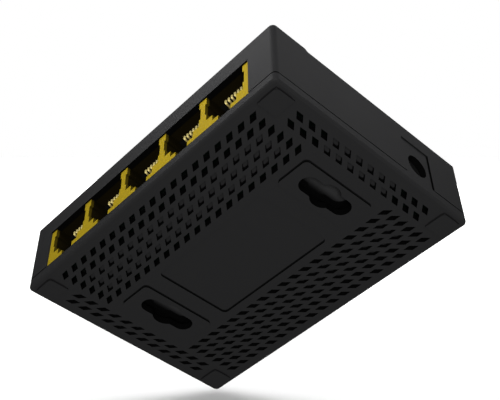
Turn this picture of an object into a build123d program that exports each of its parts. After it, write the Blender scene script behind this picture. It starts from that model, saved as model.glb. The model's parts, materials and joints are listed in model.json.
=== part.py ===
from build123d import *
from math import cos, radians, sin, tan
import os

# A five-port desktop Ethernet switch in a two-part snap case, in millimetres.
# +X runs along the port side, the ports face -Y and +Z is up.
# The origin lies under the middle of the case, in the plane of its four feet.

os.makedirs("parts", exist_ok=True)

# Case walls and edges
wall = 1.5
corner_radius = 1.2
inside_radius = 0.6
base_edge_round = 0.6
top_edge_bevel = 0.35
rim_height = 2.65
seam_gap = 0.25
strip_depth = 9.9
strip_slope = 0.9
strip_rise = 0.55
case_end_margin = 7.525

# Lip of the base tray that locates the top cover, and its snap hooks
lip_thickness = 0.8
lip_height = 1.2
lip_clearance = 0.15
lip_end_gap = 0.3
hook_width = 6.0
hook_height = 5.5
hook_barb = 0.45
hook_lead = 0.9
hook_land = 0.225
hook_bite = 0.225
hook_corner_distance = 18.0
catch_depth = 0.6
catch_clearance = 0.3

# Circuit board and the room above and below it
solder_room = 1.1
board_thickness = 1.2
board_clearance = 0.35
head_room = 2.9

# Ganged jack: one housing with a row of sockets
port_count = 5
port_pitch = 13.97
jack_offset = -0.55
jack_recess = 0.35
jack_depth = 16.5
jack_height = 11.6
jack_end_wall = 1.9
jack_roof = 0.8
jack_fit = 0.1
nose_depth = 3.8
socket_depth = 12.0
socket_back_wall = 0.8
socket_width = 11.6
relief_width = 12.5
relief_low = 2.1
relief_high = 5.7
latch_floor = 0.8
latch_height = 1.8
latch_width = 7.6
tab_width = 3.9
tab_floor = 0.5
opening_drop = 0.25

# Spring contacts and the insert that carries them
contact_count = 8
contact_pitch = 1.016
contact_width = 0.42
contact_thickness = 0.25
contact_gap = 0.05
contact_tip_depth = 6.2
contact_tip_drop = 1.0
contact_row_step = 1.4
insert_start = 3.8
insert_width = 11.0
insert_thickness = 0.6
insert_nose = 0.3
insert_drop = 0.4
insert_clearance = 0.1

# Vent pattern in the base: slanted slots in two long and two short bands
vent_length = 1.9
vent_width = 1.65
vent_lean = 1.5
vent_pitch = 3.632
vent_row_pitch = 2.64
vent_rows = 6
vent_side_rows = 2
vent_edge_y = 3.65
vent_edge_x = 3.85
vent_end_x = 10.4
vent_end_y = 10.6
vent_pocket_depth = 0.8
vent_open_outer = 2
vent_open_inner = 1
vent_open_ends = 3

# Feet, keyhole panels, label place and keyholes, all on the outside of the base
foot_rise = 0.45
foot_length = 5.7
foot_width = 5.3
foot_inset_x = 1.4
foot_inset_y = 1.6
panel_rise = 0.35
panel_width = 9.4
panel_length = 21.3
panel_radius = 1.2
panel_gap = 5.0
label_length = 35.2
label_width = 21.3
label_sink = 0.35
key_slot_width = 4.8
key_slot_length = 15.0
key_head_radius = 3.6
key_room = 0.5
key_box_wall = 0.8
key_box_depth = 2.6
lamp_room = 5.05

# Locating pegs of the tray and the clamping tubes of the top cover
peg_size = 1.7
peg_hole_clearance = 0.15
peg_rise = 1.0
pad_half = 1.6
boss_front = 2.2
boss_back = 3.05
boss_side = 2.15
tube_wall = 0.7
tube_hollow_clearance = 0.3
tube_clearance = 0.1
rib_thickness = 1.0
rib_length = 8.0

# Power inlet: barrel socket behind the tongue of the tray
inlet_back_distance = 16.0
inlet_rise = 4.0
inlet_hole_radius = 3.05
tongue_width = 9.2
tongue_rise = 6.75
tongue_inset = 0.3
tongue_fit = 0.1
inlet_body_length = 13.5
inlet_body_width = 9.0
inlet_body_height = 8.5
inlet_bore_radius = 2.95
inlet_bore_depth = 9.5
inlet_pin_radius = 1.0
inlet_pin_setback = 1.0
inlet_spring_width = 2.0
inlet_spring_length = 6.5
inlet_spring_thickness = 0.3
inlet_spring_start = 2.5
inlet_spring_bow = 0.9
inlet_gap = 0.2

# Lamps and the clear light guide over them
lamp_length = 1.6
lamp_width = 0.8
lamp_height = 0.7
lamp_gap = 0.3
power_lamp_step = 8.6
guide_length = 2.4
guide_width = 1.0
guide_fit = 0.1
guide_bar_height = 0.9

# Parts soldered on the board
transformer_width = 7.0
transformer_depth = 12.0
transformer_height = 4.5
transformer_gap = 0.7
transformer_front = 2.0
chip_size = 14.0
chip_height = 1.0
chip_gap = 2.5
chip_corner = 0.8
crystal_length = 3.2
crystal_width = 2.5
crystal_height = 0.8
crystal_gap = 3.0
memory_length = 5.0
memory_width = 4.0
memory_height = 1.5
regulator_size = 3.0
regulator_height = 0.9
coil_size = 5.0
coil_height = 3.0
coil_corner = 1.0
capacitor_radius = 3.15
capacitor_height = 7.0
capacitor_inlet_gap = 4.0
chip_capacitor_length = 1.6
chip_capacitor_width = 0.8
chip_capacitor_height = 0.8
part_gap = 1.5

# How far from its place an edge may lie and still be picked by position
pick_margin = 0.01

# Heights
base = foot_rise
floor_top = base + wall
rim_top = base + rim_height
cover_bottom = rim_top + seam_gap
board_bottom = floor_top + solder_room
board_top = board_bottom + board_thickness
jack_top = board_top + jack_height
strip_top = jack_top + head_room + wall
roof_top = strip_top - strip_rise
ceiling = roof_top - wall
socket_roof = jack_top - jack_roof
opening_top = socket_roof - opening_drop
latch_bottom = board_top + latch_floor
socket_floor = latch_bottom + latch_height
nose_bottom = rim_top + jack_fit
inlet_z = board_top + inlet_rise
tongue_top = inlet_z + tongue_rise
insert_top = socket_roof - insert_drop
insert_bottom = insert_top - insert_thickness

# Lengths and depths
jack_length = (port_count - 1) * port_pitch + socket_width + 2 * jack_end_wall
half_x = jack_length / 2 + case_end_margin
key_box_half_y = key_slot_length / 2 + key_room + key_box_wall
key_box_half_x = key_head_radius + key_room + key_box_wall
half_y = jack_recess + jack_depth + lamp_room + key_box_half_y
inner_x = half_x - wall
inner_y = half_y - wall
lip_x = inner_x - lip_clearance
lip_y = inner_y - lip_clearance
barb_height = hook_lead + hook_land + hook_bite
tray_x = lip_x - lip_thickness
tray_y = lip_y - lip_thickness
jack_front = jack_recess - half_y
jack_rear = jack_front + jack_depth
nose_end = jack_front + nose_depth
socket_end = jack_front + socket_depth
socket_wall_end = socket_end + socket_back_wall
board_front = nose_end + jack_fit
board_x = tray_x - board_clearance
board_back = tray_y - board_clearance
lip_cut = 2 * (half_y - tray_y) + wall
lamp_y = jack_rear + lamp_room / 2
inlet_y = half_y - inlet_back_distance
tongue_outer = half_x - tongue_inset
tongue_inner = tongue_outer - wall
inlet_mouth = tongue_inner - inlet_gap
inlet_back = inlet_mouth - inlet_body_length
key_x = label_length / 2 + panel_gap + panel_width / 2
peg_x = tray_x - boss_side
peg_front = board_front + boss_front
peg_back = tray_y - boss_back
peg_spots = [(-peg_x, peg_front), (peg_x, peg_back)]
pad_spots = [(peg_x, peg_front), (-peg_x, peg_back)]
port_places = [jack_offset + (port - (port_count - 1) / 2) * port_pitch for port in range(port_count)]
board_middle = (board_front + board_back) / 2
board_depth = board_back - board_front


def save(solid, name):
    """Label a finished piece and write it to its own file."""
    solid.label = name
    export_step(solid, f"parts/{name}.step")


def hook_plane(x, y, outward):
    """A plane across a snap hook: its own x points out of the case, its own y points up."""
    along = Vector(*outward).cross(Vector(0, 0, 1))
    return Plane(origin=(x, y, rim_top), x_dir=outward, z_dir=along)


# Each hook stands on the lip's outer face: two on the far side, one on each end.
hook_planes = [
    hook_plane(half_x - hook_corner_distance, lip_y, (0, 1, 0)),
    hook_plane(hook_corner_distance - half_x, lip_y, (0, 1, 0)),
    hook_plane(lip_x, 0, (1, 0, 0)),
    hook_plane(-lip_x, 0, (-1, 0, 0)),
]

# Long bands: as many columns as fit between the short bands at the ends.
vent_columns = 1 + int(2 * (half_x - vent_end_x) / vent_pitch)
vent_side_columns = 1 + int(2 * (half_y - vent_end_y) / vent_pitch)


def long_band(side):
    """Places of one long band's slots, as (column, row, x, y), row 0 at the case's edge."""
    places = []
    for row in range(vent_rows):
        y = side * (half_y - vent_edge_y - row * vent_row_pitch)
        for column in range(vent_columns):
            x = (column - (vent_columns - 1) / 2) * vent_pitch
            places.append((column, row, x, y))
    return places


def short_band(side):
    """Places of one short band's slots, as (column, x, y)."""
    places = []
    for row in range(vent_side_rows):
        x = side * (half_x - vent_edge_x - row * vent_row_pitch)
        for column in range(vent_side_columns):
            y = (column - (vent_side_columns - 1) / 2) * vent_pitch
            places.append((column, x, y))
    return places


def long_is_open(column, row):
    """The outer rows, the inner row and the end columns go right through, the rest are pockets."""
    in_open_row = row < vent_open_outer or row >= vent_rows - vent_open_inner
    return in_open_row or column in (0, vent_columns - 1)


def short_is_open(column):
    """The slots near both ends of a short band go right through."""
    return column < vent_open_ends or column >= vent_side_columns - vent_open_ends


def long_slot(side):
    """Corners of a long band's slot: level ends, sides that lean outwards along +X."""
    lean = side * vent_lean / 2
    return [
        (-vent_length / 2 - lean, -vent_width / 2),
        (vent_length / 2 - lean, -vent_width / 2),
        (vent_length / 2 + lean, vent_width / 2),
        (-vent_length / 2 + lean, vent_width / 2),
    ]


def short_slot(side):
    """Corners of a short band's slot: the long band's slot turned a quarter."""
    lean = side * vent_lean / 2
    return [
        (-vent_width / 2, -vent_length / 2 + lean),
        (vent_width / 2, -vent_length / 2 - lean),
        (vent_width / 2, vent_length / 2 - lean),
        (-vent_width / 2, vent_length / 2 + lean),
    ]


def draw_vents(wanted_open):
    """Draw the slots that go through, or those that are pockets, in the current sketch."""
    for side in (-1, 1):
        long_places = [(x, y) for c, r, x, y in long_band(side) if long_is_open(c, r) == wanted_open]
        with Locations(*long_places):
            Polygon(*long_slot(side), align=None)
        short_places = [(x, y) for c, x, y in short_band(side) if short_is_open(c) == wanted_open]
        with Locations(*short_places):
            Polygon(*short_slot(side), align=None)


def on_outline(edge):
    """Whether an edge runs round the outside of the case."""
    middle = edge.center()
    return abs(middle.X) > half_x - corner_radius or abs(middle.Y) > half_y - corner_radius


# Base tray: one moulding with the vents, keyholes, feet, lip, hooks, pegs and inlet tongue
with BuildPart() as bottom_cover:
    with BuildSketch(Plane.XY.offset(base)):
        RectangleRounded(2 * half_x, 2 * half_y, corner_radius)
    extrude(amount=rim_height)
    # lower edge rounded in two flats, a steep one and then a shallow one, which meet on the round
    steep_width = base_edge_round * tan(radians(22.5))
    knee_height = base_edge_round * (1 - cos(radians(45)))
    underside = bottom_cover.faces().sort_by(Axis.Z)[0]
    chamfer(bottom_cover.edges().group_by(Axis.Z)[0], steep_width, base_edge_round, reference=underside)
    underside = bottom_cover.faces().sort_by(Axis.Z)[0]
    shallow_width = base_edge_round - steep_width
    knee_length = knee_height / sin(radians(67.5))
    chamfer(bottom_cover.edges().group_by(Axis.Z)[0], shallow_width, knee_length, reference=underside)
    # hollow of the tray
    with BuildSketch(Plane.XY.offset(floor_top)):
        Rectangle(2 * tray_x, 2 * tray_y)
    extrude(amount=rim_height, mode=Mode.SUBTRACT)
    # lip round the inside, left out where the jack and the inlet stand
    with BuildSketch(Plane.XY.offset(rim_top)):
        RectangleRounded(2 * lip_x, 2 * lip_y, inside_radius)
        Rectangle(2 * tray_x, 2 * tray_y, mode=Mode.SUBTRACT)
        with Locations((jack_offset, -half_y)):
            Rectangle(jack_length + 2 * lip_end_gap, lip_cut, mode=Mode.SUBTRACT)
        with Locations((half_x, inlet_y)):
            Rectangle(lip_cut, tongue_width + 2 * lip_end_gap, mode=Mode.SUBTRACT)
    extrude(amount=lip_height)
    for plane in hook_planes:
        with BuildSketch(plane):
            with BuildLine():
                Polyline(
                    (-lip_thickness, 0),
                    (0, 0),
                    (0, hook_height - barb_height),
                    (hook_barb, hook_height - hook_lead - hook_land),
                    (hook_barb, hook_height - hook_lead),
                    (0, hook_height),
                    (-lip_thickness, hook_height),
                    close=True,
                )
            make_face()
        extrude(amount=hook_width / 2, both=True)
    # tongue that closes the top cover's slot and holds the inlet's hole
    with BuildSketch(Plane.XY.offset(floor_top)):
        with Locations(((tongue_inner + tongue_outer) / 2, inlet_y)):
            Rectangle(wall, tongue_width)
    extrude(amount=tongue_top - floor_top)
    with BuildSketch(Plane.YZ.offset(tongue_inner - wall)):
        with Locations((inlet_y, inlet_z)):
            Circle(inlet_hole_radius)
    extrude(amount=3 * wall, mode=Mode.SUBTRACT)
    # raised feet and keyhole panels
    foot_x = half_x - foot_inset_x - foot_length / 2
    foot_y = half_y - foot_inset_y - foot_width / 2
    with BuildSketch(Plane.XY):
        with GridLocations(2 * foot_x, 2 * foot_y, 2, 2):
            Rectangle(foot_length, foot_width)
    extrude(amount=foot_rise)
    with BuildSketch(Plane.XY.offset(base - panel_rise)):
        with GridLocations(2 * key_x, 0, 2, 1):
            RectangleRounded(panel_width, panel_length, panel_radius)
    extrude(amount=panel_rise)
    # sunk place for the label
    with BuildSketch(Plane.XY.offset(base)):
        RectangleRounded(label_length, label_width, panel_radius)
    extrude(amount=label_sink, mode=Mode.SUBTRACT)
    # closed box over each keyhole, so that a screw's head never meets the board
    with BuildSketch(Plane.XY.offset(floor_top)):
        with GridLocations(2 * key_x, 0, 2, 1):
            Rectangle(2 * key_box_half_x, 2 * key_box_half_y)
    extrude(amount=key_box_depth + key_box_wall)
    with BuildSketch(Plane.XY.offset(floor_top)):
        with GridLocations(2 * key_x, 0, 2, 1):
            Rectangle(2 * (key_box_half_x - key_box_wall), 2 * (key_box_half_y - key_box_wall))
    extrude(amount=key_box_depth, mode=Mode.SUBTRACT)
    # keyhole: a slot for the screw's neck with a round place for its head in the middle
    with BuildSketch(Plane.XY.offset(base - panel_rise)):
        with GridLocations(2 * key_x, 0, 2, 1):
            SlotOverall(key_slot_length, key_slot_width, rotation=90)
            Circle(key_head_radius)
    extrude(amount=panel_rise + wall, mode=Mode.SUBTRACT)
    # square pads that carry the board, two of them with a peg that locates it
    with BuildSketch(Plane.XY.offset(floor_top)):
        with Locations(*peg_spots, *pad_spots):
            Rectangle(2 * pad_half, 2 * pad_half)
    extrude(amount=solder_room)
    with BuildSketch(Plane.XY.offset(board_bottom)):
        with Locations(*peg_spots):
            Rectangle(peg_size, peg_size)
    extrude(amount=board_thickness + peg_rise)
    # vents last: slots that go through and slots that are only pockets
    with BuildSketch(Plane.XY.offset(base)):
        draw_vents(True)
    extrude(amount=wall, mode=Mode.SUBTRACT)
    with BuildSketch(Plane.XY.offset(base)):
        draw_vents(False)
    extrude(amount=vent_pocket_depth, mode=Mode.SUBTRACT)
save(bottom_cover.part, "bottom_cover")

# Top cover: deep moulded lid with a raised strip over the ports
with BuildPart() as top_cover:
    with BuildSketch(Plane.XY.offset(cover_bottom)):
        RectangleRounded(2 * half_x, 2 * half_y, corner_radius)
    extrude(amount=strip_top - cover_bottom)
    strip_end = strip_depth - half_y
    with BuildSketch(Plane.YZ.offset(-half_x)):
        with BuildLine():
            Polyline(
                (strip_end, strip_top),
                (strip_end + strip_slope, roof_top),
                (half_y, roof_top),
                (half_y, strip_top),
                close=True,
            )
        make_face()
    extrude(amount=2 * half_x, mode=Mode.SUBTRACT)
    rim_edges = top_cover.edges().filter_by(lambda edge: edge.center().Z > roof_top - pick_margin)
    outer_edges = rim_edges.filter_by(on_outline)
    chamfer(outer_edges, top_edge_bevel)
    # hollow of the lid
    with BuildSketch(Plane.XY.offset(cover_bottom)):
        RectangleRounded(2 * inner_x, 2 * inner_y, inside_radius)
    extrude(amount=ceiling - cover_bottom, mode=Mode.SUBTRACT)
    # opening for the jack, and the slot that the tray's tongue closes
    with BuildSketch(Plane.XZ.offset(half_y)):
        with Locations((jack_offset, (cover_bottom + opening_top) / 2)):
            Rectangle(jack_length + 2 * jack_fit, opening_top - cover_bottom)
    extrude(amount=-wall, mode=Mode.SUBTRACT)
    with BuildSketch(Plane.YZ.offset(half_x)):
        with Locations((inlet_y, (cover_bottom + tongue_top + tongue_fit) / 2)):
            Rectangle(tongue_width + 2 * tongue_fit, tongue_top + tongue_fit - cover_bottom)
    extrude(amount=-wall, mode=Mode.SUBTRACT)
    # catches for the snap hooks
    for plane in hook_planes:
        with BuildSketch(plane):
            with Locations((lip_clearance + catch_depth / 2, hook_height - barb_height / 2)):
                Rectangle(catch_depth, barb_height + 2 * catch_clearance)
        extrude(amount=hook_width / 2 + catch_clearance, both=True, mode=Mode.SUBTRACT)
    # tubes that clamp the board round the tray's pegs
    with BuildSketch(Plane.XY.offset(board_top + tube_clearance)):
        with Locations(*peg_spots):
            tube_hollow = peg_size + 2 * tube_hollow_clearance
            tube_size = tube_hollow + 2 * tube_wall
            Rectangle(tube_size, tube_size)
    extrude(amount=ceiling - board_top - tube_clearance)
    with BuildSketch(Plane.XY.offset(board_top + tube_clearance)):
        with Locations(*peg_spots):
            Rectangle(tube_hollow, tube_hollow)
    extrude(amount=2 * peg_rise, mode=Mode.SUBTRACT)
    # cross posts that clamp the board's other two corners
    with BuildSketch(Plane.XY.offset(board_top + tube_clearance)):
        with Locations(*pad_spots):
            Rectangle(2 * pad_half, rib_thickness)
            Rectangle(rib_thickness, 2 * pad_half)
    extrude(amount=ceiling - board_top - tube_clearance)
    # ribs that hold the jack down
    with BuildSketch(Plane.XY.offset(jack_top + tube_clearance)):
        with Locations(*[(x, jack_rear - rib_length / 2) for x in port_places[::2]]):
            Rectangle(rib_thickness, rib_length)
    extrude(amount=ceiling - jack_top - tube_clearance)
    # windows of the light guide
    power_lamp_x = port_places[-1] + power_lamp_step
    lamp_places = [power_lamp_x] + port_places
    with BuildSketch(Plane.XY.offset(ceiling)):
        with Locations(*[(x, lamp_y) for x in lamp_places]):
            Rectangle(guide_length + 2 * guide_fit, guide_width + 2 * guide_fit)
    extrude(amount=wall, mode=Mode.SUBTRACT)
save(top_cover.part, "top_cover")

# Ganged jack housing: one moulding, stepped to stand in the case's opening and before the board
with BuildPart() as jack_housing:
    jack_shoulder = wall + jack_fit - half_y
    with BuildSketch(Plane.YZ.offset(jack_offset)):
        with BuildLine():
            Polyline(
                (jack_front, nose_bottom),
                (nose_end, nose_bottom),
                (nose_end, board_top),
                (jack_rear, board_top),
                (jack_rear, jack_top),
                (jack_shoulder, jack_top),
                (jack_shoulder, opening_top - jack_fit),
                (jack_front, opening_top - jack_fit),
                close=True,
            )
        make_face()
    extrude(amount=jack_length / 2, both=True)
    # sockets: stepped section with a relief in each side and the latch's place at the bottom
    with BuildSketch(Plane.XZ.offset(-jack_front)):
        with Locations(*[(x, 0) for x in port_places]):
            with Locations((0, (socket_floor + socket_roof) / 2)):
                Rectangle(socket_width, socket_roof - socket_floor)
            with Locations((0, socket_floor + (relief_low + relief_high) / 2)):
                Rectangle(relief_width, relief_high - relief_low)
            with Locations((0, latch_bottom + latch_height / 2)):
                Rectangle(latch_width, latch_height)
    extrude(amount=-socket_depth, mode=Mode.SUBTRACT)
    # narrow place for the plug's tab, only in the nose
    tab_bottom = nose_bottom + tab_floor
    with BuildSketch(Plane.XZ.offset(-jack_front)):
        with Locations(*[(x, (tab_bottom + latch_bottom) / 2) for x in port_places]):
            Rectangle(tab_width, latch_bottom - tab_bottom)
    extrude(amount=jack_fit - nose_depth, mode=Mode.SUBTRACT)
    # channel over the back wall for the insert, and the open room for the contacts' tails
    insert_channel = insert_width + 2 * insert_clearance
    with BuildSketch(Plane.XZ.offset(-socket_end)):
        with Locations(*[(x, (insert_bottom - insert_clearance + socket_roof) / 2) for x in port_places]):
            Rectangle(insert_channel, socket_roof - insert_bottom + insert_clearance)
    extrude(amount=socket_end - jack_rear, mode=Mode.SUBTRACT)
    with BuildSketch(Plane.XZ.offset(-socket_wall_end)):
        with Locations(*[(x, (board_top + socket_roof) / 2) for x in port_places]):
            Rectangle(insert_channel, socket_roof - board_top)
    extrude(amount=socket_wall_end - jack_rear, mode=Mode.SUBTRACT)
save(jack_housing.part, "jack_housing")

# Inserts and spring contacts, one set for each socket
insert_front = jack_front + insert_start
insert_slope = (insert_thickness - insert_nose) / (socket_wall_end - insert_front)
for port, x in enumerate(port_places, start=1):
    with BuildPart() as insert:
        with BuildSketch(Plane.YZ.offset(x)):
            with BuildLine():
                Polyline(
                    (insert_front, insert_bottom),
                    (socket_wall_end, insert_bottom),
                    (socket_wall_end, insert_top),
                    (insert_front, insert_bottom + insert_nose),
                    close=True,
                )
            make_face()
        extrude(amount=insert_width / 2, both=True)
    save(insert.part, f"port_{port}_insert")

    with BuildPart() as contacts:
        for number in range(contact_count):
            contact_x = x + (number - (contact_count - 1) / 2) * contact_pitch
            tail = socket_wall_end + contact_gap + (number % 2) * contact_row_step
            with BuildSketch(Plane.YZ.offset(contact_x)):
                with BuildLine():
                    Polyline(
                        (jack_front + contact_tip_depth, insert_bottom - contact_tip_drop),
                        (insert_front - contact_gap, insert_bottom - contact_gap),
                        (insert_front - contact_gap, insert_bottom + insert_nose + contact_gap),
                        (tail, insert_top + contact_gap + insert_slope * (tail - socket_wall_end)),
                        (tail, board_top),
                    )
                    offset(amount=contact_thickness, kind=Kind.INTERSECTION, side=Side.LEFT)
                make_face()
            extrude(amount=contact_width / 2, both=True)
    save(contacts.part, f"port_{port}_contacts")

# Circuit board with two windows for the keyhole boxes
with BuildPart() as circuit_board:
    with BuildSketch(Plane.XY.offset(board_bottom)):
        with Locations((0, board_middle)):
            Rectangle(2 * board_x, board_depth)
        with Locations(*peg_spots):
            peg_hole = peg_size + 2 * peg_hole_clearance
            Rectangle(peg_hole, peg_hole, mode=Mode.SUBTRACT)
        with GridLocations(2 * key_x, 0, 2, 1):
            window_x = key_box_half_x + board_clearance
            window_y = key_box_half_y + board_clearance
            Rectangle(2 * window_x, 2 * window_y, mode=Mode.SUBTRACT)
    extrude(amount=board_thickness)
save(circuit_board.part, "circuit_board")

# Power inlet: moulded body, centre pin and the leaf spring that presses on the plug's sleeve
with BuildPart() as power_jack_body:
    with BuildSketch(Plane.YZ.offset(inlet_back)):
        with Locations((inlet_y, board_top + inlet_body_height / 2)):
            Rectangle(inlet_body_width, inlet_body_height)
    extrude(amount=inlet_body_length)
    with BuildSketch(Plane.YZ.offset(inlet_mouth)):
        with Locations((inlet_y, inlet_z)):
            Circle(inlet_bore_radius)
    extrude(amount=-inlet_bore_depth, mode=Mode.SUBTRACT)
    slot_middle = inlet_mouth - inlet_spring_start - inlet_spring_length / 2
    with BuildSketch(Plane.XY.offset(board_top)):
        with Locations((slot_middle, inlet_y)):
            Rectangle(inlet_spring_length + 2 * inlet_gap, inlet_spring_width + 2 * inlet_gap)
    extrude(amount=inlet_rise, mode=Mode.SUBTRACT)
save(power_jack_body.part, "power_jack_body")

with BuildPart() as power_jack_pin:
    with BuildSketch(Plane.YZ.offset(inlet_mouth - inlet_bore_depth)):
        with Locations((inlet_y, inlet_z)):
            Circle(inlet_pin_radius)
    extrude(amount=inlet_bore_depth - inlet_pin_setback)
save(power_jack_pin.part, "power_jack_pin")

with BuildPart() as power_jack_spring:
    spring_foot = board_top
    spring_end = slot_middle - inlet_spring_length / 2
    spring_start = slot_middle + inlet_spring_length / 2
    with BuildSketch(Plane.XZ.offset(-inlet_y)):
        with BuildLine():
            Polyline(
                (spring_end, spring_foot),
                (slot_middle, spring_foot + inlet_spring_bow),
                (spring_start, spring_foot),
            )
            offset(amount=inlet_spring_thickness, kind=Kind.INTERSECTION, side=Side.LEFT)
        make_face()
    extrude(amount=inlet_spring_width / 2, both=True)
save(power_jack_spring.part, "power_jack_spring")

# Lamps on the board, each under one post of the light guide
lamp_names = ["power_lamp"] + [f"port_{port}_lamp" for port in range(1, port_count + 1)]
for name, x in zip(lamp_names, lamp_places):
    with BuildPart() as lamp:
        with BuildSketch(Plane.XY.offset(board_top)):
            with Locations((x, lamp_y)):
                Rectangle(lamp_length, lamp_width)
        extrude(amount=lamp_height)
    save(lamp.part, name)

with BuildPart() as light_guide:
    guide_bottom = board_top + lamp_height + lamp_gap
    with BuildSketch(Plane.XY.offset(guide_bottom)):
        with Locations(*[(x, lamp_y) for x in lamp_places]):
            Rectangle(guide_length, guide_width)
    extrude(amount=roof_top - guide_bottom)
    bar_start = min(lamp_places) - guide_length
    bar_end = max(lamp_places) + guide_length
    with BuildSketch(Plane.XY.offset(ceiling - guide_fit - guide_bar_height)):
        with Locations(((bar_start + bar_end) / 2, lamp_y)):
            Rectangle(bar_end - bar_start, 2 * guide_width)
    extrude(amount=guide_bar_height)
save(light_guide.part, "light_guide")

# Isolating transformers, one for each port, in a row behind the lamps
transformer_y = lamp_y + transformer_front + transformer_depth / 2
transformer_step = transformer_width + transformer_gap
for port in range(1, port_count + 1):
    x = (port - (port_count + 1) / 2) * transformer_step
    with BuildPart() as transformer:
        with BuildSketch(Plane.XY.offset(board_top)):
            with Locations((x, transformer_y)):
                Rectangle(transformer_width, transformer_depth)
        extrude(amount=transformer_height)
    save(transformer.part, f"port_{port}_transformer")

# Switch chip, with the corner cut that marks its first pin
chip_y = transformer_y + transformer_depth / 2 + chip_gap + chip_size / 2
with BuildPart() as switch_chip:
    with BuildSketch(Plane.XY.offset(board_top)) as chip_outline:
        with Locations((0, chip_y)):
            Rectangle(chip_size, chip_size)
        chamfer(chip_outline.vertices().sort_by(Axis.X).sort_by(Axis.Y)[0], chip_corner)
    extrude(amount=chip_height)
save(switch_chip.part, "switch_chip")

with BuildPart() as clock_crystal:
    crystal_x = -chip_size / 2 - crystal_gap - crystal_length / 2
    with BuildSketch(Plane.XY.offset(board_top)):
        with Locations((crystal_x, chip_y)):
            Rectangle(crystal_length, crystal_width)
    extrude(amount=crystal_height)
save(clock_crystal.part, "clock_crystal")

with BuildPart() as settings_chip:
    memory_y = chip_y + crystal_width / 2 + part_gap + memory_width / 2
    with BuildSketch(Plane.XY.offset(board_top)):
        with Locations((crystal_x, memory_y)):
            Rectangle(memory_length, memory_width)
    extrude(amount=memory_height)
save(settings_chip.part, "settings_chip")

# Power parts between the inlet and the switch chip
capacitor_x = inlet_back - capacitor_inlet_gap - capacitor_radius
with BuildPart() as input_capacitor:
    with BuildSketch(Plane.XY.offset(board_top)):
        with Locations((capacitor_x, inlet_y)):
            Circle(capacitor_radius)
    extrude(amount=capacitor_height)
save(input_capacitor.part, "input_capacitor")

coil_y = inlet_y + capacitor_radius + part_gap + coil_size / 2
with BuildPart() as power_coil:
    with BuildSketch(Plane.XY.offset(board_top)) as coil_sketch:
        with Locations((capacitor_x, coil_y)):
            Rectangle(coil_size, coil_size)
        chamfer(coil_sketch.vertices(), coil_corner)
    extrude(amount=coil_height)
save(power_coil.part, "power_coil")

with BuildPart() as regulator_chip:
    regulator_x = capacitor_x + coil_size / 2 + part_gap + regulator_size / 2
    with BuildSketch(Plane.XY.offset(board_top)):
        with Locations((regulator_x, coil_y)):
            Rectangle(regulator_size, regulator_size)
    extrude(amount=regulator_height)
save(regulator_chip.part, "regulator_chip")

# Small chip parts: capacitors beside the switch chip, resistors behind each transformer
with BuildPart() as decoupling_capacitors:
    row_y = chip_y + chip_size / 2 + part_gap
    with BuildSketch(Plane.XY.offset(board_top)):
        with Locations((0, row_y)):
            with GridLocations(2 * chip_capacitor_length, 0, 4, 1):
                Rectangle(chip_capacitor_length, chip_capacitor_width)
    extrude(amount=chip_capacitor_height)
save(decoupling_capacitors.part, "decoupling_capacitors")

with BuildPart() as termination_resistors:
    resistor_y = transformer_y + transformer_depth / 2 + chip_gap / 2
    with BuildSketch(Plane.XY.offset(board_top)):
        with Locations((0, resistor_y)):
            with GridLocations(transformer_step, 0, port_count, 1):
                Rectangle(chip_capacitor_length, chip_capacitor_width)
    extrude(amount=chip_capacitor_height)
save(termination_resistors.part, "termination_resistors")
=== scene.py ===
import json
from math import pi
import bpy
from mathutils import Matrix, Vector


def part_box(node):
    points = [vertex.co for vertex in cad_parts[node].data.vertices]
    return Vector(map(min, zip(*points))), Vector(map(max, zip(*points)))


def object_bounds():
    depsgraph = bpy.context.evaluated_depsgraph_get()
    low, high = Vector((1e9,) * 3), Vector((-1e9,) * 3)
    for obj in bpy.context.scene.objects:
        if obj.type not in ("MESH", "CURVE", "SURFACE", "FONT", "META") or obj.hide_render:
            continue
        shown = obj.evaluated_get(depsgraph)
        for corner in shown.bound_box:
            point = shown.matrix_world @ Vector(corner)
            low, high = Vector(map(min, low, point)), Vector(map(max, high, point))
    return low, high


# Looks of a small five-port network switch, seen from below and in front of its port side.
# Lengths are in metres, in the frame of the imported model: ports face -Y, the vented base faces -Z.
# No piece is added to the object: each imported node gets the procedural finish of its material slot.

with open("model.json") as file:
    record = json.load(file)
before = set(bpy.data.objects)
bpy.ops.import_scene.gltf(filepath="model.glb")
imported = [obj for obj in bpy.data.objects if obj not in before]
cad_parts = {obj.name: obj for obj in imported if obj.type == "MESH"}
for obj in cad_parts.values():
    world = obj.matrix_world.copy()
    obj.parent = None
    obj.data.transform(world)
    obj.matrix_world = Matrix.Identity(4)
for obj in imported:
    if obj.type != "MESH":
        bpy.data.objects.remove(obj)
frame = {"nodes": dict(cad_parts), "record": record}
cad_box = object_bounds()
scene = bpy.context.scene
MM = 0.001

# Places read from the frame
case_low, case_high = cad_box
base_low, base_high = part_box("bottom_cover")
jack_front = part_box("jack_housing")[0].y
pin_low, pin_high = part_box("power_jack_pin")
inlet_y, inlet_z = (pin_low.y + pin_high.y) / 2, (pin_low.z + pin_high.z) / 2

# Base, upwards: the feet, the sunk label place, the top of the solid and the seam under the top cover;
# and how round its edges are
foot_rise = 0.45 * MM
label_sink = 0.35 * MM
step_top = foot_rise + label_sink + 0.1 * MM
solid_top = foot_rise + 1.5 * MM
seam_height = foot_rise + 2.65 * MM
edge_round = 0.6 * MM

# Outlines on the base: the label place, the keyhole panels and the foot pads, and how far in from the
# base's edges the pads' walls lie
place_half_y = 10.65 * MM
place_radius = 1.2 * MM
label_half_x = 17.6 * MM
panel_half_x = 4.7 * MM
foot_half_x, foot_half_y = 2.85 * MM, 2.65 * MM
foot_x = base_high.x - 1.4 * MM - foot_half_x
foot_y = base_high.y - 1.6 * MM - foot_half_y
foot_reach_x, foot_reach_y = 8.0 * MM, 7.5 * MM

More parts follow.
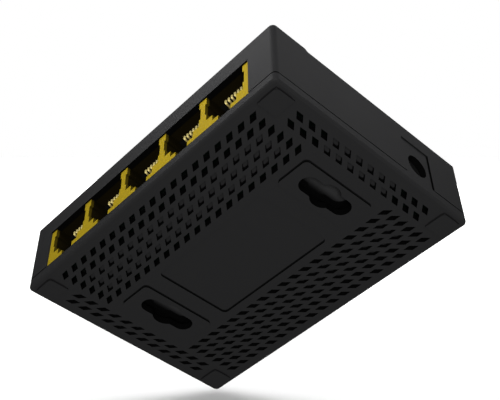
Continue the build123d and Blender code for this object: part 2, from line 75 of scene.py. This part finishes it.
# Keyholes: slots along Y with a round head in the middle; the floors behind them are above key_floor_low
key_x = 27.3 * MM
key_slot_half = 7.5 * MM
key_neck_radius = 2.4 * MM
key_head_radius = 3.6 * MM
key_floor_low = 3.5 * MM

# Painted shade lines beside the steps: widths, soft edge and strengths; the pads' lines and wall shade are
# fainter
line_width = 0.2 * MM
wide_line = 0.32 * MM
line_blur = 0.04 * MM
line_strength = 0.9
pad_line_share = 0.6
pad_wall_softening = 0.6

# Blind slots' painted shade: how far off a wall still shuts off light, the open shares at which a corner
# starts to be painted dark and is fully dark, and how dark the rest of the floor is painted
corner_reach = 0.55 * MM
corner_start, corner_full = 0.82, 0.56
blind_floor_shade = 0.08

# Seam's shadow: where it starts, is full and ends
seam_start = seam_height - 0.25 * MM
seam_full = seam_height - 0.05 * MM
seam_end = seam_height + 0.3 * MM
seam_shade = 0.9

# Inlet: its hole and the tongue that holds it, and how much less painted shade the top cover's edge gets
# there
inlet_radius = 3.05 * MM
tongue_half = 4.6 * MM
tongue_depth = 2.5 * MM
lid_edge_softening = 0.5

# Sockets: where the yellow's painted shade starts and where it turns black, how dark the painted shade makes
# their walls from the start, where the contacts bend, and how dim the painted shade makes them behind the
# bend
fade_start = jack_front + 0.02 * MM
fade_end = jack_front + 0.9 * MM
socket_wall_shade = 0.88
contact_bend = jack_front + 3.8 * MM
contact_shade = 0.8

# Colours in linear light, and the covers' gloss
case_black = (0.0125, 0.0125, 0.0129)
# Painted light: the base's downward faces are a little lighter than the case's black
underside_painted_light = (0.0143, 0.0143, 0.0146)
# Painted light on the floors behind the keyholes
key_floor_painted_light = (0.0215, 0.0215, 0.0218)
# Painted shade in the base's recesses: step walls and lines, blind slots, the inside, the seam and the inlet
recess_painted_shade = (0.0015, 0.0015, 0.0015)
# Painted shade on the top cover's downward faces and in the slot beside the tongue
lid_painted_shade = (0.0012, 0.0012, 0.0012)
jack_yellow = (0.235, 0.168, 0.0085)
# Painted shade inside the sockets
socket_painted_shade = (0.004, 0.003, 0.001)
contact_gold = (0.98, 0.82, 0.32)
# Painted shade on the contacts behind their bends
gold_painted_shade = (0.10, 0.06, 0.01)
case_gloss = 0.0015

# Camera: below the base, in front of the ports and to the right, rolled as in the photograph
camera_place = Vector((0.129460, -0.121672, -0.166221))
camera_right = Vector((0.68286, 0.73041, -0.01443)).normalized()
camera_up = Vector((0.53552, -0.48702, 0.68995)).normalized()
focal_length = 74.40
camera_back = camera_right.cross(camera_up).normalized()


def make_camera():
    """The photograph's camera: a plain lens with no shift."""
    data = bpy.data.cameras.new("photo_camera")
    data.lens = focal_length
    data.sensor_width = 36.0
    data.clip_start = 0.01
    data.clip_end = 20.0
    camera = bpy.data.objects.new("photo_camera", data)
    turned = Matrix((camera_right, camera_up, camera_back)).transposed().to_4x4()
    camera.matrix_world = Matrix.Translation(camera_place) @ turned
    scene.collection.objects.link(camera)
    scene.camera = camera


def add_node(tree, kind, **settings):
    """A new node with its own settings, named by their attributes, and its inputs, given as sockets={...}."""
    node = tree.nodes.new(kind)
    for socket, value in settings.pop("sockets", {}).items():
        if isinstance(value, bpy.types.NodeSocket):
            tree.links.new(value, node.inputs[socket])
        else:
            node.inputs[socket].default_value = value
    for name, value in settings.items():
        setattr(node, name, value)
    return node


def calc(tree, operation, first, second=None, clamp=False):
    """One arithmetic step on values or sockets."""
    sockets = {0: first} if second is None else {0: first, 1: second}
    return add_node(tree, "ShaderNodeMath", operation=operation, use_clamp=clamp, sockets=sockets).outputs[0]


def product(tree, first, *others):
    """All the masks or values multiplied together."""
    for other in others:
        first = calc(tree, "MULTIPLY", first, other)
    return first


def largest(tree, first, *others):
    """The largest of the masks or values."""
    for other in others:
        first = calc(tree, "MAXIMUM", first, other)
    return first


def opposite(tree, mask):
    """1 where the mask is 0, and 0 where it is 1."""
    return calc(tree, "SUBTRACT", 1.0, mask)


def unsigned(tree, value):
    """The value without its sign."""
    return calc(tree, "ABSOLUTE", value)


def slant_length(tree, first, second):
    """The long side of a right-angled triangle with these two short sides."""
    squares = [calc(tree, "POWER", side, 2.0) for side in (first, second)]
    return calc(tree, "SQRT", calc(tree, "ADD", *squares))


def smooth_step(tree, value, low, high):
    """0 below low, 1 above high and a smooth rise between; low may be the larger of the two."""
    node = add_node(tree, "ShaderNodeMapRange", interpolation_type="SMOOTHSTEP", sockets={"Value": value})
    node.inputs["From Min"].default_value = low
    node.inputs["From Max"].default_value = high
    return node.outputs["Result"]


def object_place(tree):
    """X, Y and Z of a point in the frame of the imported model."""
    place = add_node(tree, "ShaderNodeTexCoord").outputs["Object"]
    return add_node(tree, "ShaderNodeSeparateXYZ", sockets={0: place}).outputs


def face_direction(tree):
    """X, Y and Z of the way that a flat face looks."""
    facing = add_node(tree, "ShaderNodeNewGeometry").outputs["True Normal"]
    return add_node(tree, "ShaderNodeSeparateXYZ", sockets={0: facing}).outputs


def looks_down(tree, facing):
    """1 on faces that look straight down."""
    return calc(tree, "LESS_THAN", facing["Z"], -0.9)


def new_group(name, inputs, outputs):
    """An empty shader group; inputs are (name, socket type, default) and outputs (name, socket type)."""
    group = bpy.data.node_groups.new(name, "ShaderNodeTree")
    for label, kind, default in inputs:
        socket = group.interface.new_socket(label, in_out="INPUT", socket_type=kind)
        socket.default_value = default
    for label, kind in outputs:
        group.interface.new_socket(label, in_out="OUTPUT", socket_type=kind)
    source = group.nodes.new("NodeGroupInput")
    sink = group.nodes.new("NodeGroupOutput")
    return group, source, sink


FLOAT, COLOUR, VECTOR = "NodeSocketFloat", "NodeSocketColor", "NodeSocketVector"


def noise(tree, place, scale, detail):
    """Noise around 0.5, with scale waves in a metre."""
    sockets = {"Vector": place, "Scale": scale, "Detail": detail}
    return add_node(tree, "ShaderNodeTexNoise", sockets=sockets).outputs[0]


def moulded_grain_group():
    """Fine spark-eroded mould texture: noise of the grain size as height, and with wider clouds as a faint
    change of colour; the clouds change the roughness too."""
    group, source, sink = new_group(
        "moulded_grain",
        [("Colour", COLOUR, (0.03, 0.03, 0.03, 1)), ("Roughness", FLOAT, 0.55), ("Grain size", FLOAT, 0.2),
         ("Relief", FLOAT, 0.2), ("Cloudiness", FLOAT, 0.1)],
        [("Colour", COLOUR), ("Roughness", FLOAT), ("Normal", VECTOR)],
    )
    clouds_per_metre, relief_depth, roughness_share = 90.0, 0.02 * MM, 0.8
    place = add_node(group, "ShaderNodeTexCoord").outputs["Object"]
    grains_per_metre = calc(group, "DIVIDE", 1 / MM, source.outputs["Grain size"])
    grain = noise(group, place, grains_per_metre, 2.0)
    cloud = noise(group, place, clouds_per_metre, 3.0)
    drift = product(group, calc(group, "SUBTRACT", cloud, 0.5), source.outputs["Cloudiness"])
    speck = product(group, calc(group, "SUBTRACT", grain, 0.5), source.outputs["Cloudiness"])
    brightness = calc(group, "ADD", calc(group, "ADD", drift, speck), 1.0)
    tint = add_node(group, "ShaderNodeVectorMath", operation="SCALE", sockets={0: source.outputs["Colour"]})
    group.links.new(brightness, tint.inputs["Scale"])
    uneven = product(group, drift, roughness_share)
    rough = calc(group, "ADD", source.outputs["Roughness"], uneven, clamp=True)
    heights = {"Height": grain, "Strength": source.outputs["Relief"], "Distance": relief_depth}
    bump = add_node(group, "ShaderNodeBump", sockets=heights)
    group.links.new(tint.outputs[0], sink.inputs["Colour"])
    group.links.new(rough, sink.inputs["Roughness"])
    group.links.new(bump.outputs[0], sink.inputs["Normal"])
    return group


def inside_outline(tree, place, centre, half, move):
    """1 inside a rectangle with round corners, moved by (move, -move): the distance to it is the length of
    what lies past its corner centres, less the corner radius."""
    past = []
    for axis, middle, side, step in (("X", centre[0], half[0], move), ("Y", centre[1], half[1], -move)):
        from_middle = unsigned(tree, calc(tree, "SUBTRACT", place[axis], middle + step))
        past.append(largest(tree, calc(tree, "SUBTRACT", from_middle, side - place_radius), 0.0))
    return smooth_step(tree, slant_length(tree, *past), place_radius + line_blur, place_radius - line_blur)


def step_line(tree, place, centre, half, width):
    """A painted shade line beside a raised place, on its sides towards +X and -Y: inside the outline moved
    that way, but outside the outline itself. With a width below 0 it is the painted shade line in a sunk
    place, towards -X and +Y."""
    here = inside_outline(tree, place, centre, half, 0.0)
    moved = inside_outline(tree, place, centre, half, abs(width))
    first, second = (moved, here) if width > 0 else (here, moved)
    return product(tree, first, opposite(tree, second))


def step_lines(tree, place, facing, strength):
    """The painted shade lines beside the label place, the two keyhole panels and the four foot pads."""
    lines = step_line(tree, place, (0.0, 0.0), (label_half_x, place_half_y), -wide_line)
    for side in (-1, 1):
        panel = step_line(tree, place, (side * key_x, 0.0), (panel_half_x, place_half_y), wide_line)
        lines = largest(tree, lines, panel)
        for end in (-1, 1):
            middle = (side * foot_x, end * foot_y)
            pad = step_line(tree, place, middle, (foot_half_x, foot_half_y), line_width)
            lines = largest(tree, lines, product(tree, pad, pad_line_share))
    outer = product(tree, looks_down(tree, facing), calc(tree, "LESS_THAN", place["Z"], step_top))
    return product(tree, lines, outer, strength)


def recess_walls(tree, place, facing, margin):
    """Painted shade on the upright walls of steps and slots, fainter at the foot pads, and on all that lies
    above the solid; but not on the outer walls."""
    slanted, upright = 0.6, 0.3
    across = smooth_step(tree, unsigned(tree, facing["Z"]), slanted, upright)
    near_x = calc(tree, "GREATER_THAN", unsigned(tree, place["X"]), base_high.x - foot_reach_x)
    near_y = calc(tree, "GREATER_THAN", unsigned(tree, place["Y"]), base_high.y - foot_reach_y)
    low = calc(tree, "LESS_THAN", place["Z"], foot_rise + 0.01 * MM)
    fainter = opposite(tree, product(tree, near_x, near_y, low, pad_wall_softening))
    deep = smooth_step(tree, place["Z"], solid_top - 0.1 * MM, solid_top)
    inside = []
    for axis, side in (("X", base_high.x), ("Y", base_high.y)):
        limit = calc(tree, "SUBTRACT", side - 0.05 * MM, margin)
        inside.append(calc(tree, "LESS_THAN", unsigned(tree, place[axis]), limit))
    return product(tree, largest(tree, product(tree, across, fainter), deep), *inside)


def painted_key_floor_light(tree, place, facing):
    """Painted light on the floors behind the two keyholes: inside the slot or its round head, and none
    towards -X.
    """
    blur_out, blur_in = 0.15 * MM, 0.25 * MM
    dark_until, light_from = -3.3 * MM, -0.8 * MM
    from_x = calc(tree, "SUBTRACT", unsigned(tree, place["X"]), key_x)
    from_y = unsigned(tree, place["Y"])
    past_y = largest(tree, calc(tree, "SUBTRACT", from_y, key_slot_half - key_neck_radius), 0.0)
    inside = []
    for reach, radius in ((past_y, key_neck_radius), (from_y, key_head_radius)):
        to_edge = slant_length(tree, from_x, reach)
        inside.append(smooth_step(tree, to_edge, radius + blur_out, radius - blur_in))
    along = product(tree, from_x, calc(tree, "SIGN", place["X"]))
    light = smooth_step(tree, along, dark_until, light_from)
    high = calc(tree, "GREATER_THAN", place["Z"], key_floor_low)
    return product(tree, largest(tree, *inside), light, looks_down(tree, facing), high)


def blind_slots(tree, place, facing):
    """Painted shade on the floors of the blind slots: a little everywhere, and dark in the corners that their
    walls shut off.
    """
    above = calc(tree, "GREATER_THAN", place["Z"], step_top)
    below = calc(tree, "LESS_THAN", place["Z"], solid_top)
    floor = product(tree, looks_down(tree, facing), above, below)
    reach = {"Distance": corner_reach}
    open_share = add_node(tree, "ShaderNodeAmbientOcclusion", samples=16, only_local=True, sockets=reach)
    corner = smooth_step(tree, open_share.outputs["AO"], corner_start, corner_full)
    return largest(tree, product(tree, corner, floor), product(tree, floor, blind_floor_shade))


def near_tongue(tree, place, margin):
    """1 on the inlet's tongue and as far as margin beside it, at the end of the case."""
    at_end = calc(tree, "GREATER_THAN", place["X"], base_high.x - tongue_depth)
    from_inlet = unsigned(tree, calc(tree, "SUBTRACT", place["Y"], inlet_y))
    return product(tree, at_end, calc(tree, "LESS_THAN", from_inlet, tongue_half + margin))


def seam_and_inlet(tree, place, facing):
    """Painted shadow under the top cover's edge, except on the tongue; painted shade in the inlet's hole and
    on the tongue's +Y side.
    """
    tongue = near_tongue(tree, place, 0.2 * MM)
    upright = calc(tree, "LESS_THAN", unsigned(tree, facing["Z"]), 0.3)
    seam = smooth_step(tree, place["Z"], seam_start, seam_full)
    below = calc(tree, "LESS_THAN", place["Z"], seam_end)
    seam = product(tree, seam, below, upright, opposite(tree, tongue), seam_shade)
    from_y = calc(tree, "SUBTRACT", place["Y"], inlet_y)
    to_axis = slant_length(tree, from_y, calc(tree, "SUBTRACT", place["Z"], inlet_z))
    hole = product(tree, tongue, calc(tree, "LESS_THAN", to_axis, inlet_radius + 0.03 * MM))
    side = smooth_step(tree, from_y, tongue_half - 0.3 * MM, tongue_half - 0.2 * MM)
    side = product(tree, side, tongue, calc(tree, "GREATER_THAN", place["Z"], seam_height))
    return largest(tree, seam, hole, side)


def base_recess_group():
    """Masks of the base: its painted shade, its underside's painted light, and the painted light on the
    keyhole floors.
    """
    group, source, sink = new_group(
        "base_recess", [("Edge", FLOAT, edge_round), ("Line", FLOAT, line_strength)],
        [("Shade", FLOAT), ("Underside", FLOAT), ("Key floor", FLOAT)],
    )
    place = object_place(group)
    facing = face_direction(group)
    key_floor = painted_key_floor_light(group, place, facing)
    walls = recess_walls(group, place, facing, source.outputs["Edge"])
    walls = product(group, walls, opposite(group, key_floor))
    lines = step_lines(group, place, facing, source.outputs["Line"])
    slots = blind_slots(group, place, facing)
    shade = largest(group, walls, lines, slots, seam_and_inlet(group, place, facing))
    group.links.new(shade, sink.inputs["Shade"])
    group.links.new(smooth_step(group, facing["Z"], -0.1, -0.3), sink.inputs["Underside"])
    group.links.new(key_floor, sink.inputs["Key floor"])
    return group


GRAIN = moulded_grain_group()
RECESS = base_recess_group()


def new_material(name):
    """A material with a Principled shader ready to fill in, and its tree."""
    material = bpy.data.materials.new(name)
    material.use_nodes = True
    tree = material.node_tree
    shader = tree.nodes["Principled BSDF"]
    return material, tree, shader


def grained(tree, shader, colour, roughness, size, relief, cloudiness):
    """Connect the moulded grain with these values, size in millimetres; returns its node."""
    grain = add_node(tree, "ShaderNodeGroup", node_tree=GRAIN)
    grain.inputs["Colour"].default_value = (*colour, 1)
    grain.inputs["Roughness"].default_value = roughness
    grain.inputs["Grain size"].default_value = size
    grain.inputs["Relief"].default_value = relief
    grain.inputs["Cloudiness"].default_value = cloudiness
    tree.links.new(grain.outputs["Colour"], shader.inputs["Base Color"])
    tree.links.new(grain.outputs["Roughness"], shader.inputs["Roughness"])
    tree.links.new(grain.outputs["Normal"], shader.inputs["Normal"])
    return grain


def towards(tree, colour, mask, other):
    """Mix a colour towards another by a mask."""
    mix = add_node(tree, "ShaderNodeMix", data_type="RGBA")
    tree.links.new(mask, mix.inputs["Factor"])
    tree.links.new(colour, mix.inputs[6])
    mix.inputs[7].default_value = (*other, 1)
    return mix.outputs[2]


def case_plastic(name):
    """A new material with the matte black grain that both covers share; also returns the grain's colour."""
    material, tree, shader = new_material(name)
    grain = grained(tree, shader, case_black, roughness=0.45, size=0.22, relief=0.25, cloudiness=0.16)
    shader.inputs["Specular IOR Level"].default_value = case_gloss
    return material, tree, shader, grain.outputs["Colour"]


def lid_plastic():
    """Matte black shell of the top cover, with painted shade on its downward faces and in the slot beside the
    tongue.
    """
    material, tree, shader, colour = case_plastic("lid_plastic")
    facing = face_direction(tree)
    by_tongue = near_tongue(tree, object_place(tree), 0.5 * MM)
    downward = smooth_step(tree, facing["Z"], -0.2, -0.5)
    downward = product(tree, downward, opposite(tree, product(tree, by_tongue, lid_edge_softening)))
    slot_side = product(tree, by_tongue, smooth_step(tree, facing["Y"], -0.4, -0.6))
    dark = towards(tree, colour, largest(tree, downward, slot_side), lid_painted_shade)
    tree.links.new(dark, shader.inputs["Base Color"])
    return material


def base_plastic():
    """Matte black moulded tray; painted shade in recesses, painted light on underside and keyhole floors."""
    material, tree, shader, colour = case_plastic("base_plastic")
    recess = add_node(tree, "ShaderNodeGroup", node_tree=RECESS)
    colour = towards(tree, colour, recess.outputs["Underside"], underside_painted_light)
    colour = towards(tree, colour, recess.outputs["Key floor"], key_floor_painted_light)
    colour = towards(tree, colour, recess.outputs["Shade"], recess_painted_shade)
    tree.links.new(colour, shader.inputs["Base Color"])
    return material


def yellow_plastic():
    """Yellow jack housing, with painted shade that takes its sockets to black a little way in and darkens
    their walls.
    """
    material, tree, shader = new_material("yellow_plastic")
    grain = grained(tree, shader, jack_yellow, roughness=0.42, size=0.3, relief=0.2, cloudiness=0.10)
    facing = face_direction(tree)
    sideways = largest(tree, unsigned(tree, facing["X"]), unsigned(tree, facing["Z"]))
    wall = smooth_step(tree, sideways, 0.5, 0.7)
    depth = smooth_step(tree, object_place(tree)["Y"], fade_start, fade_end)
    dim = largest(tree, depth, product(tree, wall, socket_wall_shade))
    dark = towards(tree, grain.outputs["Colour"], dim, socket_painted_shade)
    tree.links.new(dark, shader.inputs["Base Color"])
    shader.inputs["Specular IOR Level"].default_value = 0.0005
    return material


def plain_plastic(name, colour, roughness, specular=0.3):
    """Any other moulded or epoxy part: the same grain with its own colour."""
    material, tree, shader = new_material(name)
    grained(tree, shader, colour, roughness, size=0.15, relief=0.2, cloudiness=0.2)
    shader.inputs["Specular IOR Level"].default_value = specular
    return material


def metal(name, colour, roughness):
    """Plated or plain metal with a slightly uneven polish."""
    material, tree, shader = new_material(name)
    grained(tree, shader, colour, roughness, size=0.1, relief=0.15, cloudiness=0.15)
    shader.inputs["Metallic"].default_value = 1.0
    return material


def soft_gold():
    """Gold plate, mostly matte as fine stamped contacts look, with painted shade behind the contacts' front
    bends.
    """
    material, tree, shader = new_material("soft_gold")
    grain = grained(tree, shader, contact_gold, roughness=0.4, size=0.1, relief=0.15, cloudiness=0.1)
    place = object_place(tree)
    depth = smooth_step(tree, place["Y"], contact_bend - 0.15 * MM, contact_bend + 0.3 * MM)
    dim = towards(tree, grain.outputs["Colour"], product(tree, depth, contact_shade), gold_painted_shade)
    tree.links.new(dim, shader.inputs["Base Color"])
    shader.inputs["Metallic"].default_value = 0.3
    shader.inputs["Specular IOR Level"].default_value = 0.1
    return material


def frosted_guide():
    """Clear moulding of the light guide."""
    material, tree, shader = new_material("frosted_guide")
    grained(tree, shader, (0.78, 0.80, 0.82), roughness=0.35, size=0.12, relief=0.3, cloudiness=0.1)
    shader.inputs["Transmission Weight"].default_value = 0.6
    shader.inputs["IOR"].default_value = 1.49
    return material


FINISHES = {
    "top_case": lid_plastic(),
    "base_case": base_plastic(),
    "jack_yellow": yellow_plastic(),
    "gilt_contact": soft_gold(),
    "insert_black": plain_plastic("insert_black", (0.003, 0.003, 0.003), 0.6, 0.02),
    "board_mask": plain_plastic("board_mask", (0.0006, 0.0014, 0.0009), 0.5, 0.05),
    "inlet_black": plain_plastic("inlet_black", (0.004, 0.004, 0.004), 0.6, 0.02),
    "inlet_pin": metal("inlet_pin", (0.70, 0.70, 0.72), 0.2),
    "inlet_spring": metal("inlet_spring", (0.62, 0.60, 0.56), 0.35),
    "clear_guide": frosted_guide(),
    "lamp_body": plain_plastic("lamp_body", (0.75, 0.80, 0.62), 0.3),
    "transformer_case": plain_plastic("transformer_case", (0.015, 0.015, 0.016), 0.5),
    "chip_case": plain_plastic("chip_case", (0.020, 0.020, 0.021), 0.55),
    "crystal_can": metal("crystal_can", (0.60, 0.60, 0.60), 0.35),
    "capacitor_can": metal("capacitor_can", (0.70, 0.70, 0.72), 0.3),
    "coil_core": plain_plastic("coil_core", (0.05, 0.05, 0.052), 0.7),
    "ceramic": plain_plastic("ceramic", (0.35, 0.24, 0.14), 0.5),
    "ceramic_dark": plain_plastic("ceramic_dark", (0.03, 0.03, 0.03), 0.5),
}


def dress_nodes():
    """Give each node the finish of its material slot in the record."""
    for part in frame["record"]["subparts"]:
        node = frame["nodes"][part["node"]]
        node.data.materials.clear()
        node.data.materials.append(FINISHES[part["material_slot"]])


# Floor: a plain pale plane under the floating case, in the photograph's own sense of down
floor_tilt = 0.12
floor_drop = 0.0042
floor_half = 0.9
floor_white = (0.85, 0.85, 0.85, 1)

# Glow of the floor and the world: the floor's own, its rise to white away from the case, the world's light
floor_glow = 0.02
glow_rise = 0.6
glow_start, glow_end = 0.10, 0.22
world_level = 0.3


def seen_directly(tree):
    """1 for what the camera sees, also in gloss and through clear plastic."""
    path = add_node(tree, "ShaderNodeLightPath").outputs
    return largest(tree, path["Is Camera Ray"], path["Is Glossy Ray"], path["Is Transmission Ray"])


def make_floor():
    """A square plane whose normal is the camera's up, leaned a little towards the camera; clear from behind.
    Its glow grows towards white away from the case, and shows only where the floor is seen directly."""
    up = (camera_up + floor_tilt * camera_back).normalized()
    along = camera_right
    across = up.cross(along)
    corners = [Vector((x, y, z)) for x in (case_low.x, case_high.x) for y in (case_low.y, case_high.y)
               for z in (base_low.z, case_high.z)]
    lowest = min(corner.dot(up) for corner in corners)
    middle = (case_low + case_high) / 2
    centre = middle + up * (lowest - floor_drop - middle.dot(up))
    signs = [(-1, -1), (1, -1), (1, 1), (-1, 1)]
    points = [centre + along * a * floor_half + across * b * floor_half for a, b in signs]
    mesh = bpy.data.meshes.new("studio_floor")
    mesh.from_pydata([tuple(point) for point in points], [], [(0, 1, 2, 3)])
    floor = bpy.data.objects.new("studio_floor", mesh)
    scene.collection.objects.link(floor)
    material, tree, shader = new_material("studio_floor")
    shader.inputs["Base Color"].default_value = floor_white
    shader.inputs["Roughness"].default_value = 0.9
    shader.inputs["Specular IOR Level"].default_value = 0.0
    place = add_node(tree, "ShaderNodeTexCoord").outputs["Object"]
    away = add_node(tree, "ShaderNodeVectorMath", operation="DISTANCE", sockets={0: place, 1: tuple(centre)})
    rise = smooth_step(tree, away.outputs["Value"], glow_start, glow_end)
    level = calc(tree, "ADD", product(tree, rise, glow_rise), floor_glow)
    strength = product(tree, seen_directly(tree), level)
    glow = add_node(tree, "ShaderNodeEmission", sockets={"Color": (1, 1, 1, 1), "Strength": strength})
    lit = add_node(tree, "ShaderNodeAddShader", sockets={0: shader.outputs[0], 1: glow.outputs[0]})
    clear = add_node(tree, "ShaderNodeBsdfTransparent")
    behind = add_node(tree, "ShaderNodeNewGeometry").outputs["Backfacing"]
    both = add_node(tree, "ShaderNodeMixShader", sockets={0: behind, 1: lit.outputs[0], 2: clear.outputs[0]})
    tree.links.new(both.outputs[0], tree.nodes["Material Output"].inputs["Surface"])
    mesh.materials.append(material)
    floor.visible_diffuse = False


def make_world():
    """White to the camera and to gloss, and a plain soft level for the light that falls on the case."""
    world = bpy.data.worlds.new("studio")
    scene.world = world
    world.use_nodes = True
    tree = world.node_tree
    back = tree.nodes["Background"]
    back.inputs["Color"].default_value = (1, 1, 1, 1)
    levels = {"Value": seen_directly(tree), "To Min": world_level, "To Max": 1.0}
    level = add_node(tree, "ShaderNodeMapRange", sockets=levels)
    tree.links.new(level.outputs[0], back.inputs["Strength"])


def make_lamp(name, place, target, side, level, sheen=False):
    """A square soft lamp that the camera doesn't see; level is the brightness of white at its target.
    It lights what is matte, or with sheen only what is glossy."""
    reach = (Vector(target) - Vector(place)).length
    data = bpy.data.lights.new(name, "AREA")
    data.shape = "SQUARE"
    data.size = side
    data.energy = level * (pi * reach) ** 2
    lamp = bpy.data.objects.new(name, data)
    lamp.location = place
    lamp.rotation_mode = "QUATERNION"
    lamp.rotation_quaternion = (Vector(target) - Vector(place)).to_track_quat("-Z", "Y")
    lamp.visible_camera = False
    lamp.visible_diffuse = not sheen
    lamp.visible_glossy = sheen
    scene.collection.objects.link(lamp)


def make_lights():
    """Lamps over the floor, behind the camera and in front of the ports, two that give the port side and the
    right end their sheen, and one for the hidden sides."""
    middle = (case_low + case_high) / 2
    corner = Vector((case_high.x, case_low.y, case_high.z / 2))
    over_floor = middle + 0.7 * camera_up + 0.1 * camera_back
    behind_camera = camera_place + 0.6 * camera_back
    make_lamp("sky_lamp", over_floor, middle, side=0.32, level=0.85)
    make_lamp("camera_lamp", behind_camera, middle, side=0.2, level=1.2)
    make_lamp("port_lamp", corner + Vector((-0.005, -0.06, 0.035)), corner, side=0.03, level=0.65)
    strip_place = corner + Vector((-0.07, -0.09, 0.177))
    end_place = corner + Vector((0.087, 0.09, 0.177))
    make_lamp("strip_shine", strip_place, corner, side=0.14, level=3.3, sheen=True)
    make_lamp("end_shine", end_place, corner, side=0.14, level=1.0, sheen=True)
    make_lamp("back_lamp", middle + Vector((-0.25, 0.35, 0.45)), middle, side=0.4, level=0.7)


make_camera()
dress_nodes()
make_floor()
make_world()
make_lights()
scene.view_settings.view_transform = "Standard"
